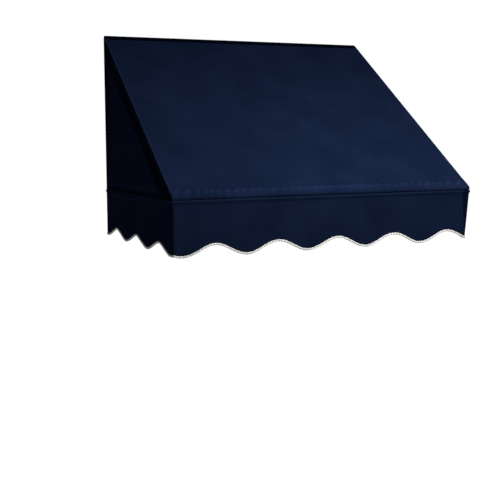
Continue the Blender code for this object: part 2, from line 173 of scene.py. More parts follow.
# The canvas: solution-dyed acrylic in a plain weave, navy, with matt threads about a millimetre
# apart. Its threads follow each panel's own cut, so the pattern reads the UV map, which holds
# flat distances in metres.
CANVAS_COLOURS = ((0.0050, 0.0098, 0.0290), (0.0104, 0.0188, 0.0510))
CANVAS_THICKNESS = 0.0006
THREAD_PITCH = 0.0011
THREAD_DEPTH = 0.00022
CELL_SHIFT = 20000.0


def new_group(name, entries, exits):
    """A node group with entries of a name, kind and first value, and exits that are numbers."""
    tree = bpy.data.node_groups.new(name, "ShaderNodeTree")
    for entry, kind, value in entries:
        made = tree.interface.new_socket(name=entry, in_out="INPUT", socket_type="NodeSocket" + kind)
        if value is not None:
            made.default_value = value
    for way_out in exits:
        tree.interface.new_socket(name=way_out, in_out="OUTPUT", socket_type="NodeSocketFloat")
    return tree, tree.nodes.new("NodeGroupInput").outputs, tree.nodes.new("NodeGroupOutput").inputs


def math_node(tree, operation, *operands):
    """One arithmetic node; each operand is a number or another node's output."""
    node = new_node(tree, "ShaderNodeMath", dict(enumerate(operands)))
    node.operation = operation
    return node.outputs[0]


def noise_node(tree, vector, scale, detail=2.0, stretch=(1, 1, 1)):
    """Noise on a vector that is stretched first."""
    placed = new_node(tree, "ShaderNodeMapping", {"Scale": stretch, "Vector": vector}).outputs[0]
    noise = {"Scale": scale, "Detail": detail, "Vector": placed}
    return new_node(tree, "ShaderNodeTexNoise", noise).outputs["Fac"]


def make_weave_group():
    """Plain weave: warp and weft threads cross over and under, cell by cell.

    Height is the rounded back of whichever thread is on top. Tone is 0 to 1 and varies with
    threads of uneven dye and with broad mottling, and it is painted darker in the gaps between
    threads as shade. An even number of cells is added before the remainder is taken, so that none is below
    zero.
    """
    tree, entry, leave = new_group("plain_weave", (("Vector", "Vector", None),
                                                   ("Pitch", "Float", THREAD_PITCH)), ("Height", "Tone"))
    vector = entry["Vector"]
    split = new_node(tree, "ShaderNodeSeparateXYZ", {0: vector})
    across = math_node(tree, "DIVIDE", split.outputs[0], entry["Pitch"])
    along = math_node(tree, "DIVIDE", split.outputs[1], entry["Pitch"])
    cell = math_node(tree, "ADD", math_node(tree, "FLOOR", across), math_node(tree, "FLOOR", along))
    over = math_node(tree, "MODULO", math_node(tree, "ADD", cell, CELL_SHIFT), 2.0)
    under = math_node(tree, "SUBTRACT", 1.0, over)
    warp = math_node(tree, "ABSOLUTE", math_node(tree, "SINE", math_node(tree, "MULTIPLY", across, math.pi)))
    weft = math_node(tree, "ABSOLUTE", math_node(tree, "SINE", math_node(tree, "MULTIPLY", along, math.pi)))
    height = math_node(tree, "ADD", math_node(tree, "MULTIPLY", warp, over),
                       math_node(tree, "MULTIPLY", weft, under))
    warp_dye = noise_node(tree, vector, 1.0, 1.0, (420, 5, 1))
    weft_dye = noise_node(tree, vector, 1.0, 1.0, (5, 420, 1))
    mottle = noise_node(tree, vector, 7.0, 4.0)
    tone = math_node(tree, "MULTIPLY", math_node(tree, "ADD", warp_dye, weft_dye), 0.22)
    tone = math_node(tree, "ADD", tone, math_node(tree, "MULTIPLY", mottle, 1.25))
    # Painted shade: the tone is lower in the gaps between threads and higher on their backs.
    tone = math_node(tree, "ADD", tone, math_node(tree, "MULTIPLY", height, 0.12))
    clamp = new_node(tree, "ShaderNodeClamp", {0: math_node(tree, "SUBTRACT", tone, 0.53)})
    tree.links.new(height, leave["Height"])
    tree.links.new(clamp.outputs[0], leave["Tone"])
    return tree


def new_look(name):
    """A new material with its node tree and its shader."""
    look = bpy.data.materials.new(name)
    look.use_nodes = True
    return look, look.node_tree, look.node_tree.nodes["Principled BSDF"]


def uv_place(tree):
    """The flat distances of a panel or a cord."""
    place = tree.nodes.new("ShaderNodeUVMap")
    place.uv_map = "cut"
    return place.outputs[0]


def two_tone(tree, colours, tone):
    """A colour between two, by a tone of 0 to 1."""
    ramp = tree.nodes.new("ShaderNodeMix")
    ramp.data_type = "RGBA"
    ramp.inputs["A"].default_value = (*colours[0], 1)
    ramp.inputs["B"].default_value = (*colours[1], 1)
    tree.links.new(tone, ramp.inputs["Factor"])
    return ramp.outputs["Result"]


def raise_grain(tree, shader, height, strength, depth):
    """Raise a height on a shader's surface by a bump."""
    bump = new_node(tree, "ShaderNodeBump", {"Strength": strength, "Distance": depth, "Height": height})
    tree.links.new(bump.outputs[0], shader.inputs["Normal"])


def make_canvas():
    """The weave between two navies, darkened by painted shade and lightened by painted highlights from each
    point's shade.
    """
    look, tree, shader = new_look("canvas_navy")
    shader.inputs["Specular IOR Level"].default_value = 0.0
    weave = tree.nodes.new("ShaderNodeGroup")
    weave.node_tree = make_weave_group()
    tree.links.new(uv_place(tree), weave.inputs["Vector"])
    tone = weave.outputs["Tone"]
    # Each point's painted shade and painted highlight scale the colour here.
    shade = tree.nodes.new("ShaderNodeAttribute")
    shade.attribute_name = "shade"
    dyed = tree.nodes.new("ShaderNodeVectorMath")
    dyed.operation = "SCALE"
    tree.links.new(two_tone(tree, CANVAS_COLOURS, tone), dyed.inputs[0])
    tree.links.new(shade.outputs["Fac"], dyed.inputs["Scale"])
    tree.links.new(dyed.outputs[0], shader.inputs["Base Color"])
    rough = math_node(tree, "ADD", math_node(tree, "MULTIPLY", tone, 0.12), 0.84)
    tree.links.new(rough, shader.inputs["Roughness"])
    raise_grain(tree, shader, weave.outputs["Height"], 0.5, THREAD_DEPTH)
    return look


canvas = make_canvas()


# Cutting and sewing: every panel is a grid of points worked out from two flat distances, and
# the flat distances are kept as its UV map. The cloth gets its thickness from Solidify.
ARC_POINTS = 13


def grid_mesh(name, points, flat, shade=None, kept=None):
    """A mesh of quads from an array (rows, columns, 3), with its UVs from (rows, columns, 2).

    shade at each point scales the colour: below 1 it is painted shade, as where the cloth lies doubled over
    the frame, in creases and in tucks, and above 1 it is a painted highlight. kept is true for each quad
    that isn't cut out.
    """
    rows, columns = points.shape[:2]
    index = np.arange(rows * columns).reshape(rows, columns)
    quads = np.stack([index[:-1, :-1], index[:-1, 1:], index[1:, 1:], index[1:, :-1]], axis=-1)
    quads = quads.reshape(-1, 4)
    points, flat = points.reshape(-1, 3), flat.reshape(-1, 2)
    shade = np.ones(len(points)) if shade is None else shade.reshape(-1)
    if kept is not None:
        used, quads = np.unique(quads[kept.reshape(-1)], return_inverse=True)
        quads = quads.reshape(-1, 4)
        points, flat, shade = points[used], flat[used], shade[used]
    mesh = bpy.data.meshes.new(name)
    mesh.vertices.add(len(points))
    mesh.vertices.foreach_set("co", points.reshape(-1).astype(np.float32))
    mesh.loops.add(quads.size)
    mesh.loops.foreach_set("vertex_index", quads.reshape(-1).astype(np.int32))
    mesh.polygons.add(len(quads))
    mesh.polygons.foreach_set("loop_start", np.arange(0, quads.size, 4, dtype=np.int32))
    mesh.polygons.foreach_set("loop_total", np.full(len(quads), 4, dtype=np.int32))
    mesh.update(calc_edges=True)
    uv = mesh.uv_layers.new(name="cut")
    uv.data.foreach_set("uv", flat[quads.reshape(-1)].reshape(-1).astype(np.float32))
    tones = mesh.attributes.new("shade", "FLOAT", "POINT")
    tones.data.foreach_set("value", shade.astype(np.float32))
    return mesh


def add_piece(name, mesh, look):
    """A new piece that rides with the frame and takes its finish from a slot."""
    mesh.polygons.foreach_set("use_smooth", np.ones(len(mesh.polygons), dtype=bool))
    mesh.materials.append(look)
    piece = bpy.data.objects.new(name, mesh)
    bpy.context.scene.collection.objects.link(piece)
    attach(piece, "root")
    return piece


def add_solid(name, points, faces, look):
    """A new piece from points and faces."""
    mesh = bpy.data.meshes.new(name)
    mesh.from_pydata(points.reshape(-1, 3).tolist(), [], faces)
    return add_piece(name, mesh, look)


def sew_panel(name, points, flat, replaced, shade=None, kept=None):
    """A panel of canvas with its thickness, in place of the imported parts that it hides. Its cut area is
    worked out but not used.
    """
    piece = add_piece(name, grid_mesh(name, points, flat, shade, kept), canvas)
    solid = piece.modifiers.new("thickness", "SOLIDIFY")
    solid.thickness = CANVAS_THICKNESS
    solid.offset = 0.0
    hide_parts(*replaced)
    edge_u = flat[:-1, 1:] - flat[:-1, :-1]
    edge_v = flat[1:, :-1] - flat[:-1, :-1]
    area = np.abs(edge_u[..., 0] * edge_v[..., 1] - edge_u[..., 1] * edge_v[..., 0])
    area = float(area.sum() if kept is None else area[kept].sum())
    size = np.ptp(flat.reshape(-1, 2), axis=0)
    area = min(area, float(size[0] * size[1]))


def unit(vectors):
    return vectors / np.linalg.norm(vectors, axis=-1, keepdims=True)


def even_along(points, step):
    """The same path read off at even distances, with those distances."""
    run = np.concatenate([[0], np.cumsum(np.linalg.norm(np.diff(points, axis=0), axis=1))])
    even = np.linspace(0, run[-1], max(2, round(run[-1] / step) + 1))
    return even, np.stack([np.interp(even, run, column) for column in points.T], axis=1)


def fillet_path(corners, radii, step):
    """Even points along straight runs whose corners are turned into arcs.

    Each corner is swapped for a circle's arc that touches both runs; the whole is then read
    off at even distances. Returns the distances, the points and the unit normals on the left.
    """
    corners = np.asarray(corners, float)
    pieces = [corners[:1]]
    for before, corner, after, radius in zip(corners, corners[1:], corners[2:], radii):
        first, second = unit(before - corner), unit(after - corner)
        half = np.arccos(np.clip(first @ second, -1, 1)) / 2
        reach = radius / np.tan(half)
        centre = corner + unit(first + second) * radius / np.sin(half)
        start, end = corner + first * reach - centre, corner + second * reach - centre
        blend = np.linspace(0, 1, ARC_POINTS)[:, None]
        pieces.append(centre + unit(start * (1 - blend) + end * blend) * radius)
    even, path = even_along(np.concatenate(pieces + [corners[-1:]]), step)
    lead = unit(np.gradient(path, axis=0))
    return even, path, np.stack([-lead[:, 1], lead[:, 0]], axis=1)


def spans(ends, counts):
    """Even points within each span between two ends, with the shared ends once."""
    parts = [np.linspace(start, end, count)[:-1] for start, end, count in zip(ends, ends[1:], counts)]
    return np.concatenate(parts + [[ends[-1]]])


def crowded(count):
    """Shares from 0 to 1 that crowd at both ends."""
    return (1 - np.cos(np.linspace(0, 1, count) * np.pi)) / 2


def ease(x):
    """Smooth step from 0 to 1."""
    x = np.clip(x, 0, 1)
    return x * x * (3 - 2 * x)


def puckers(x, t, fineness):
    """Slanted creases of uneven strength, about -1 to 1.

    Two sines whose phase wanders along the row are summed and sharpened by a root, so that
    each crease is narrow and the cloth between two of them is round.
    """
    bend = 2.3 * np.sin(x * 19 + 0.7) + 1.1 * np.sin(x * 47)
    strength = 0.66 - 0.34 * np.cos(x * 7.4)
    creases = 0.6 * np.sin(x * fineness + 5 * t + bend) + 0.4 * np.sin(x * fineness * 1.73 - 7 * t - bend)
    return strength * (1 - 2 * np.sqrt(np.clip((1 - creases) / 2, 0, 1)))


# The roof: one length of canvas. Its back edge is bound and turned up, it runs down over
# the rafters, swells over the front bar in its pocket, and curls under to the valance seam. Its
# sides turn down over the rakes and are felled to the cheeks.
ROOF_SLOPE = 0.75
ROOF_LIP = 0.002
HEAD_STRIP = 0.021
RAKE_TURN = 0.018
RAKE_RADIUS = 0.0022
RAKE_WELT = 0.0016
POCKET_BAND = 0.033
BAND_SWELL = 0.0050
SEAM_DROP = 0.0012
SAG = 0.0035
BAY_COUNT = 2
GATHER = 0.0013
HEAD_EDGE = 0.0016
ROOF_RADII = (0.0012, 0.0060)
ROOF_STEP = 0.0010
BAND_FINENESS = 225
ROW_FINENESS = 175
# Painted light on the roof: highlights on the band and the rakes, shade in the stitch row, on the turned
# edges and along the head strip.
BAND_PAINTED_HIGHLIGHT = 0.52
RAKE_PAINTED_HIGHLIGHT = 0.45
ROW_PAINTED_SHADE = 0.42
TURN_PAINTED_SHADE = 0.6
HEAD_PAINTED_SHADE = 0.80

roof_low, roof_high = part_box("cover_roof")
bar_low, bar_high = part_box("front_bar")
HALF = roof_high[0]
REACH = -roof_low[1]
SEAM = roof_low[2] - SEAM_DROP
BAR_TOP = bar_high[2]
BAR_BOTTOM = bar_low[2]
BAR_FACE = -bar_low[1]
BAR_BACK = -bar_high[1]
COS_ROOF = 1 / math.hypot(1, ROOF_SLOPE)
SIN_ROOF = ROOF_SLOPE * COS_ROOF
CLOTH_LIFT = 0.0009
ROOF_EDGE = BAR_TOP + ROOF_SLOPE * BAR_FACE + CLOTH_LIFT / COS_ROOF
FACE = BAR_FACE + CLOTH_LIFT
FOLD = ROOF_EDGE - ROOF_SLOPE * FACE

roof_run, roof_path, roof_normal = fillet_path(
    [(HEAD_EDGE, ROOF_EDGE + ROOF_LIP), (HEAD_EDGE, ROOF_EDGE - ROOF_SLOPE * HEAD_EDGE),
     (FACE, FOLD), (FACE, SEAM)], ROOF_RADII, ROOF_STEP)
fold_run = float(roof_run[-1] - (FOLD - SEAM))
band_run = fold_run - POCKET_BAND


def roof_swell(s, x):
    """Outward swell at flat distance s down the roof and place x across.

    From the stitch row to the seam the cloth stands out as the root of one less a cube, so it
    rises and falls steeply. Above it the two bays sag as products of two half waves.
    """
    t = np.clip((s - band_run) / (roof_run[-1] - band_run), 0, 1)
    steep = np.sqrt(np.clip(1 - np.abs(2 * t - 1) ** 3, 0, 1))
    ends = np.exp(-((t - 0.12) / 0.28) ** 2) + 0.7 * np.exp(-((t - 0.75) / 0.16) ** 2)
    creased = 0.85 * ends * puckers(x, t, BAND_FINENESS)
    band = BAND_SWELL * steep * (1 + 0.07 * np.sin(x * 31) + creased)
    bay = np.abs(np.sin(np.pi * BAY_COUNT * (x / HALF + 1) / 2))
    down = np.clip((s - ROOF_LIP) / (band_run - ROOF_LIP), 0, 1)
    dish = SAG * np.sin(np.pi * down) * bay * (1 + 0.15 * np.sin(x * 13 + down * 5))
    gather = GATHER * (1 + puckers(x, 0, ROW_FINENESS)) * np.exp(-((s - band_run) / 0.022) ** 2) * (t <= 0)
    return band - dish + gather * ease((band_run - s) / 0.004)


def roof_points(across, s):
    """Points at flat distances (across, down): flat in the middle, turned down past the rakes."""
    q = np.interp(s, roof_run, roof_path[:, 0])
    z = np.interp(s, roof_run, roof_path[:, 1])
    nq = np.interp(s, roof_run, roof_normal[:, 0])
    nz = np.interp(s, roof_run, roof_normal[:, 1])
    side = np.sign(across)
    past = np.abs(across) - (HALF - RAKE_RADIUS)
    turn = np.clip(past / RAKE_RADIUS, 0, math.pi / 2)
    beyond = np.maximum(past - RAKE_RADIUS * math.pi / 2, 0)
    x = side * (np.minimum(np.abs(across), HALF - RAKE_RADIUS) + RAKE_RADIUS * np.sin(turn))
    drop = RAKE_RADIUS * (1 - np.cos(turn)) + beyond
    welt = RAKE_WELT * np.exp(-((np.abs(across) - HALF + 0.002) / 0.0032) ** 2)
    settle = ease((HALF - np.abs(across)) / 0.012 + 0.25)
    out = roof_swell(s, np.clip(across, -HALF, HALF)) * np.cos(turn) * settle - drop
    x = x + side * (welt * np.sin(turn) + 0.0005 * (beyond > 0))
    out = out + welt * np.cos(turn) * (s > ROOF_LIP)
    return np.stack([x, -(q + nq * out), z + nz * out], axis=-1)


def roof_shade(across, s):
    """Painted light on the roof: painted shade near the head, in the stitch row and on the turned edges,
    painted highlights on the band and the rakes, painted crease shading over the band, and lighter down the
    slope.
    """
    t = (s - band_run) / (roof_run[-1] - band_run)
    low = np.clip(s / band_run, 0, 1)
    creased = 1 + 1.3 * puckers(across, t, BAND_FINENESS)
    band = BAND_PAINTED_HIGHLIGHT * np.exp(-((t - 0.30) / 0.30) ** 2) * (t > 0) * creased
    edge = RAKE_PAINTED_HIGHLIGHT * np.exp(-((np.abs(across) - HALF + 0.001) / 0.0025) ** 2)
    uneven = 0.7 + 1.1 * puckers(across, 0, ROW_FINENESS)
    crease = -ROW_PAINTED_SHADE * np.exp(-((s - band_run) / 0.0028) ** 2) * uneven
    turned = 1 - TURN_PAINTED_SHADE * ease((np.abs(across) - HALF - 0.001) / 0.003)
    head_strip_shade = 1 - HEAD_PAINTED_SHADE * (1 - ease((s - HEAD_STRIP) / 0.003))
    # Painted light: the colour also grows lighter down the slope towards the front.
    return (0.80 + 0.32 * low + band + edge + crease) * turned * head_strip_shade


def make_roof():
    flat_half = HALF - RAKE_RADIUS
    past_turn = flat_half + RAKE_RADIUS * math.pi / 2
    right = spans([flat_half - 0.014, flat_half, past_turn, past_turn + RAKE_TURN], [12, 6, 7])[1:]
    middle = np.linspace(-flat_half + 0.014, flat_half - 0.014, 330)
    across = np.concatenate([-right[::-1], middle, right])
    ends = [0, ROOF_LIP, HEAD_STRIP, HEAD_STRIP + 0.003, band_run - 0.03, band_run]
    over_bar = band_run + (roof_run[-1] - band_run) * crowded(36)
    down = np.concatenate([spans(ends, [5, 5, 3, 60, 16])[:-1], over_bar])
    s, a = np.meshgrid(down, across, indexing="ij")
    narrow = ease((s - ROOF_LIP) / 0.03)
    a = np.sign(a) * (np.minimum(np.abs(a), flat_half) + np.maximum(np.abs(a) - flat_half, 0) * narrow)
    sew_panel("roof_canvas", roof_points(a, s)[::-1], np.stack([a, -s], axis=-1)[::-1],
              ["cover_roof"], shade=roof_shade(a, s)[::-1])


make_roof()


# The cheeks: a triangle of canvas at each side, drawn taut over the upright, the rafter and the
# side arm. Its lower edge swells over the arm's pocket, and a doubled hem runs up the back edge.
CHEEK_BOW = 0.0030
CHEEK_SWELL = 0.0046
BACK_HEM = 0.016
BACK_EDGE = 0.0012
BACK_HEM_RISE = 0.0006
WIDE_FOLD = 0.0012
# Painted light on the cheeks: a painted highlight over the arm's pocket and painted shade over the tubes.
ARM_PAINTED_HIGHLIGHT = 0.25
TUBE_PAINTED_SHADE = 0.66
CHEEK_PLANE = HALF - 0.0011
TUBE_WIDTH = BAR_FACE - BAR_BACK
FRAME_BAND = TUBE_WIDTH + 0.026
SIDES = (("left", -1), ("right", 1))
POCKET_TOP = BAR_TOP + POCKET_BAND


def from_rake(q, z):
    """Distance from the roof's plane, measured square to it."""
    return (ROOF_EDGE - ROOF_SLOPE * q - z) * COS_ROOF


def cheek_out(q, z):
    """Distance outward from the cheek's plane.

    It is hollow between the tubes as the product of three smooth steps, one from each tube,
    and swollen over the arm as the roof is over its bar.
    """
    from_upright = ease((q - TUBE_WIDTH - 0.004) / 0.09)
    from_rafter = ease((from_rake(q, z) - TUBE_WIDTH - 0.004) / 0.09)
    bow = -CHEEK_BOW * from_upright * from_rafter * ease((z - POCKET_TOP - 0.010) / 0.07)
    t = np.clip((POCKET_TOP - z) / (POCKET_TOP - SEAM), 0, 1)
    steep = np.sqrt(np.clip(1 - np.abs(2 * t - 1) ** 3, 0, 1))
    ends = ease((REACH - q) / 0.02 + 0.3) * ease(q / 0.035)
    swell = CHEEK_SWELL * steep * (1 + 0.18 * puckers(q, t, 190)) * ends
    hem = BACK_HEM_RISE * (1 - ease((q - BACK_EDGE - BACK_HEM) / 0.0012))
    clear = ease((q - 0.03) / 0.1) * ease((from_rake(q, z) - 0.03) / 0.1)
    wide = WIDE_FOLD * puckers(z, q * 3, 21) * clear
    return bow + swell + hem + wide * ease((z - POCKET_TOP) / 0.05)


def cheek_points(side, q, z):
    return np.stack([side * (CHEEK_PLANE + cheek_out(q, z)), -q, z], axis=-1)


def cheek_shade(q, z):
    """Painted shade where the cloth lies doubled over a tube: at the back, along the rake, at the seam; a
    painted highlight over the arm.
    """
    back = 1 - ease((q - TUBE_WIDTH - 0.010) / 0.014)
    rake = 1 - ease((from_rake(q, z) - FRAME_BAND) / 0.014)
    seam = 1 - ease((z - SEAM - 0.008) / 0.010)
    painted_arm_highlight = np.exp(-((z - BAR_TOP - 0.012) / 0.010) ** 2)
    painted_tube_shade = np.maximum(np.maximum(0.6 * back, rake), 0.85 * seam)
    return (1 + ARM_PAINTED_HIGHLIGHT * painted_arm_highlight) * (1 - TUBE_PAINTED_SHADE * painted_tube_shade)


def make_cheek(name, side):
    low = SEAM + crowded(32) * (POCKET_TOP - SEAM)
    z = np.concatenate([low, np.linspace(POCKET_TOP, ROOF_EDGE - 0.006, 110)[1:]])
    share = spans([0, 0.04, 1], [12, 110])
    front = np.minimum((ROOF_EDGE - 0.0012 - z) / ROOF_SLOPE, FACE - 0.0012)
    q = BACK_EDGE + share[None, :] * (front[:, None] - BACK_EDGE)
    z = np.broadcast_to(z[:, None], q.shape)
    grids = [cheek_points(side, q, z), np.stack([q, z], axis=-1), cheek_shade(q, z)]
    points, flat, shade = [grid[:, ::side] for grid in grids]
    sew_panel("cheek_canvas_" + name, points, flat,
              ["cover_side_" + name], shade)


for cheek_name, cheek_side in SIDES:
    make_cheek(cheek_name, cheek_side)


# The valance: a strip that hangs round the front and the sides. Its top edge is folded into a
# small welt at the seam, and its lower edge is cut in even waves. The strip is lightly fluted,
# and the side strips wrap round the front corners before they meet the front one.
WAVE_HEIGHT = 0.033
SIDE_WAVE_HEIGHT = 0.029
FRONT_WAVE = 0.2075
FRONT_FIRST_LOW = 0.024
SIDE_WAVES = 3
SIDE_END_LOW = 0.016
WELT_FALL = 0.0135
WELT_SHARE = 0.30
FRONT_FLUTES = ((0.00198, 0.231, 0.6), (0.00162, 0.137, 2.1))
SIDE_FLUTES = ((0.00216, 0.233, 2.0), (0.00144, 0.118, 0.0))
CORNER_RADIUS = 0.0035
SEAM_RIDGE = 0.0020
# Painted light on the valance welt: a painted highlight along its top and painted shade in the tuck.
WELT_PAINTED_HIGHLIGHT = 0.45
TUCK_PAINTED_SHADE = 0.5
WRAP_TOP = {"left": 0.0, "right": 0.028}
WRAP_HEM = {"left": 0.0, "right": 0.002}
CORNER_LEAN = {"left": 0.001, "right": 0.016}
CORNER_RISE = {"left": 0.0, "right": 0.0135}

HEM_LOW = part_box("binding_front")[0][2] + 0.003
SIDE_WAVE = (REACH - 2 * SIDE_END_LOW) / SIDE_WAVES

welt_run, welt_path, _ = fillet_path(
    [(-0.0004, 0.0010), (0.0006, -0.0012), (0.0036, -0.0026), (0.0036, -0.0052), (0.0008, -WELT_FALL)],
    [0.0006, 0.0010, 0.0030], 0.0004)


def wave(distance, first_low, pitch, height):
    """Height above the lowest line: half a wave's height times one less the cosine."""
    return height / 2 * (1 - np.cos(2 * np.pi * (distance - first_low) / pitch))


def front_hem(x):
    return HEM_LOW + wave(x + HALF, FRONT_FIRST_LOW, FRONT_WAVE, WAVE_HEIGHT)


def side_hem(q, rise):
    """The side waves are a little flatter, and the one at a seamed corner is cut shallower."""
    ahead = REACH - q
    shallow = rise * ease(ahead / 0.045) * ease((0.095 - ahead) / 0.045)
    lift = (WAVE_HEIGHT - SIDE_WAVE_HEIGHT) / 2
    return HEM_LOW + lift + wave(q, SIDE_END_LOW, SIDE_WAVE, SIDE_WAVE_HEIGHT) + shallow


def hang(share, hem, flute):
    """Outward offset, height and fall at a share of the strip: 0 at the seam, 1 at the hem.

    The first part follows the welt. Below it the strip falls straight to the hem, and its
    flutes grow with the distance hung.
    """
    along_welt = np.linspace(0, WELT_SHARE, len(welt_run))
    out = np.interp(share, along_welt, welt_path[:, 0])
    rise = np.interp(share, along_welt, welt_path[:, 1])
    fall = np.clip((share - WELT_SHARE) / (1 - WELT_SHARE), 0, 1)
    z = np.where(share <= WELT_SHARE, SEAM + rise, SEAM - WELT_FALL + fall * (hem - SEAM + WELT_FALL))
    return out + flute * fall ** 1.2, z, fall


def across_front(name, fall):
    """How far the side strip runs on across the front, narrowing from seam to hem."""
    return WRAP_TOP[name] * (1 - fall) + WRAP_HEM[name] * fall


def welt_shade(share):
    """A painted highlight along the top of the welt, and painted shade where it is tucked into the seam."""
    pale = WELT_PAINTED_HIGHLIGHT * np.exp(-((share - 0.42 * WELT_SHARE) / 0.03) ** 2)
    return 1 + pale - TUCK_PAINTED_SHADE * np.exp(-(share / 0.03) ** 2)


def flutes(distance, parts):
    """Slow waves of a depth, length and phase each, so that the flutes don't repeat."""
    return sum(depth * np.sin(2 * np.pi * distance / length + phase) for depth, length, phase in parts)


def front_points(along, share):
    """The front strip: along is -1 at the left upright seam and 1 at the right one."""
    x = along * HALF
    end = ease((1 - np.abs(along)) / 0.05)
    out, z, fall = hang(share, front_hem(x), flutes(x, FRONT_FLUTES) * end)
    plain = hang(share, 0, 0)[0]
    overlap = np.clip(across_front("right", fall), 0, 0.003)
    left = CORNER_RADIUS - CHEEK_PLANE - plain + across_front("left", fall) + CORNER_LEAN["left"] * fall
    right = CHEEK_PLANE + plain - CORNER_RADIUS - across_front("right", fall)
    right = right - CORNER_LEAN["right"] * fall + overlap
    x = left + (along + 1) / 2 * (right - left)
    ridge = SEAM_RIDGE * np.exp(-((right - x - 0.0020) / 0.0026) ** 2) * (share > 0.1)
    return np.stack([x, -(FACE + out + ridge), z], axis=-1)


def side_points(name, side, along, share):
    """A side strip: along is 0 at the back and 1 at the seam with the front strip.

    Its plan is a straight run along the side, a quarter circle at the corner, and a short
    straight run across the front.
    """
    q = np.minimum(along, 1) * REACH
    corner = ease((along - 0.93) / 0.07)
    hem = side_hem(q, CORNER_RISE[name]) * (1 - corner) + front_hem(side * HALF) * corner
    out, z, fall = hang(share, hem, flutes(q, SIDE_FLUTES) * np.sin(np.pi * along) ** 0.5)
    lean = CORNER_LEAN[name] * fall * along ** 2
    straight = FACE + out - CORNER_RADIUS - BACK_EDGE
    arc = CORNER_RADIUS * math.pi / 2
    run = along * (straight + arc + across_front(name, fall))
    turn = np.clip((run - straight) / CORNER_RADIUS, 0, math.pi / 2)
    x = CHEEK_PLANE + out - lean - CORNER_RADIUS * (1 - np.cos(turn)) - np.maximum(run - straight - arc, 0)
    y = BACK_EDGE + np.minimum(run, straight) + CORNER_RADIUS * np.sin(turn)
    # Painted shade: where a side strip turns across the front, its colour is darkened by 0.55.
    turned = ease((run - straight - arc * 0.5) / 0.003) * (across_front(name, fall) > 0.001)
    return np.stack([side * x, -y, z], axis=-1), welt_shade(share) * (1 - 0.55 * turned)


def flat_of(points):
    """Flat distances of a panel: along its top row and down its columns, as lengths."""
    step_u = np.linalg.norm(np.diff(points, axis=1), axis=-1).mean(axis=0)
    u = np.concatenate([[0], np.cumsum(step_u)])
    step_v = np.linalg.norm(np.diff(points, axis=0), axis=-1)
    v = np.concatenate([np.zeros((1, points.shape[1])), np.cumsum(step_v, axis=0)])
    return np.stack([np.broadcast_to(u, v.shape), -v], axis=-1)


def make_valance():
    shares = spans([0, WELT_SHARE, 1], [28, 26])
    share, along = np.meshgrid(shares, spans([-1, 0.97, 1], [400, 24]), indexing="ij")
    points = front_points(along, share)
    sew_panel("valance_canvas_front", points[::-1], flat_of(points)[::-1],
              ["valance_front"], welt_shade(share)[::-1])
    share, along = np.meshgrid(shares, spans([0, 0.95, 1], [260, 36]), indexing="ij")
    for name, side in SIDES:
        points, shade = side_points(name, side, along, share)
        points, flat, shade = [grid[::-1, ::-side] for grid in (points, flat_of(points), shade)]
        sew_panel("valance_canvas_" + name, points, flat,
                  ["valance_" + name], shade)


make_valance()


# The pockets: sleeves of the same canvas sewn inside the cover, through which the front bar and
# the side arms are slid. A flap lies behind the head bar, slotted for its brackets, and a strip
# behind each upright, so that the cover can't pull off the frame.
POCKET_FLANGE = 0.010
SLEEVE_EASE = 0.0022
SLEEVE_GAP = 0.0009
SLEEVE_RADII = (0.003, 0.004, 0.002, 0.002)
FOLD_RADII = (0.0015,)
INSET = 0.0005
SLOT_HALF = 0.0225
SLOT_TOP = 0.0145


def sleeve(profile, radii, start, end, loose):
    """A profile of two distances carried along a third one, with creases that grow in the middle.

    Returns the flat distances and, for each, the profile's two distances and the place along.
    """
    run, path, normal = fillet_path(profile, radii, 0.0014)
    along = np.linspace(start, end, max(12, round(abs(end - start) / 0.005)))
    s, v = np.meshgrid(run, along, indexing="ij")
    share = s / run[-1]
    lift = loose * np.sin(np.pi * share) ** 2 * (0.6 + 0.4 * puckers(v, share * 2, 70))
    first = np.interp(s, run, path[:, 0]) + np.interp(s, run, normal[:, 0]) * lift
    second = np.interp(s, run, path[:, 1]) + np.interp(s, run, normal[:, 1]) * lift
    return np.stack([v, -s], axis=-1), first, second, v


def side_box(name):
    """A side piece's box, and its inner and outer distances from the middle."""
    low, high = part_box(name)
    inner, outer = sorted((abs(low[0]), abs(high[0])))
    return low, high, inner + INSET, outer


def make_front_pockets():
    skin = FACE - 0.0017
    start = np.array([BAR_FACE - 0.0005, BAR_TOP - 0.0002])
    uphill = np.array([-COS_ROOF, SIN_ROOF])
    profile = [start + uphill * (POCKET_BAND + POCKET_FLANGE), start + uphill * POCKET_BAND,
               (BAR_BACK - SLEEVE_GAP, BAR_TOP), (BAR_BACK - SLEEVE_GAP, BAR_BOTTOM - SLEEVE_GAP),
               (skin, BAR_BOTTOM - SLEEVE_GAP), (skin, BAR_BOTTOM - POCKET_FLANGE)]
    for name in ("left", "right"):
        low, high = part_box("pocket_front_" + name)
        flat, q, z, x = sleeve(profile, SLEEVE_RADII, low[0], high[0], -SLEEVE_EASE)
        sew_panel("bar_pocket_" + name, np.stack([x, -q, z], axis=-1), flat,
                  ["pocket_front_" + name])


def make_arm_pockets():
    for name, side in SIDES:
        low, high, inner, outer = side_box("pocket_arm_" + name)
        outer -= 0.0004
        profile = [(outer, POCKET_TOP + POCKET_FLANGE), (outer, POCKET_TOP), (inner, BAR_TOP),
                   (inner, BAR_BOTTOM - SLEEVE_GAP), (outer, BAR_BOTTOM - SLEEVE_GAP),
                   (outer, BAR_BOTTOM - POCKET_FLANGE)]
        flat, x, z, q = sleeve(profile, SLEEVE_RADII, -high[1], -low[1], -SLEEVE_EASE)
        points = np.stack([side * x, -q, z], axis=-1)
        sew_panel("arm_pocket_" + name, points[:, ::-side], flat[:, ::-side],
                  ["pocket_arm_" + name])


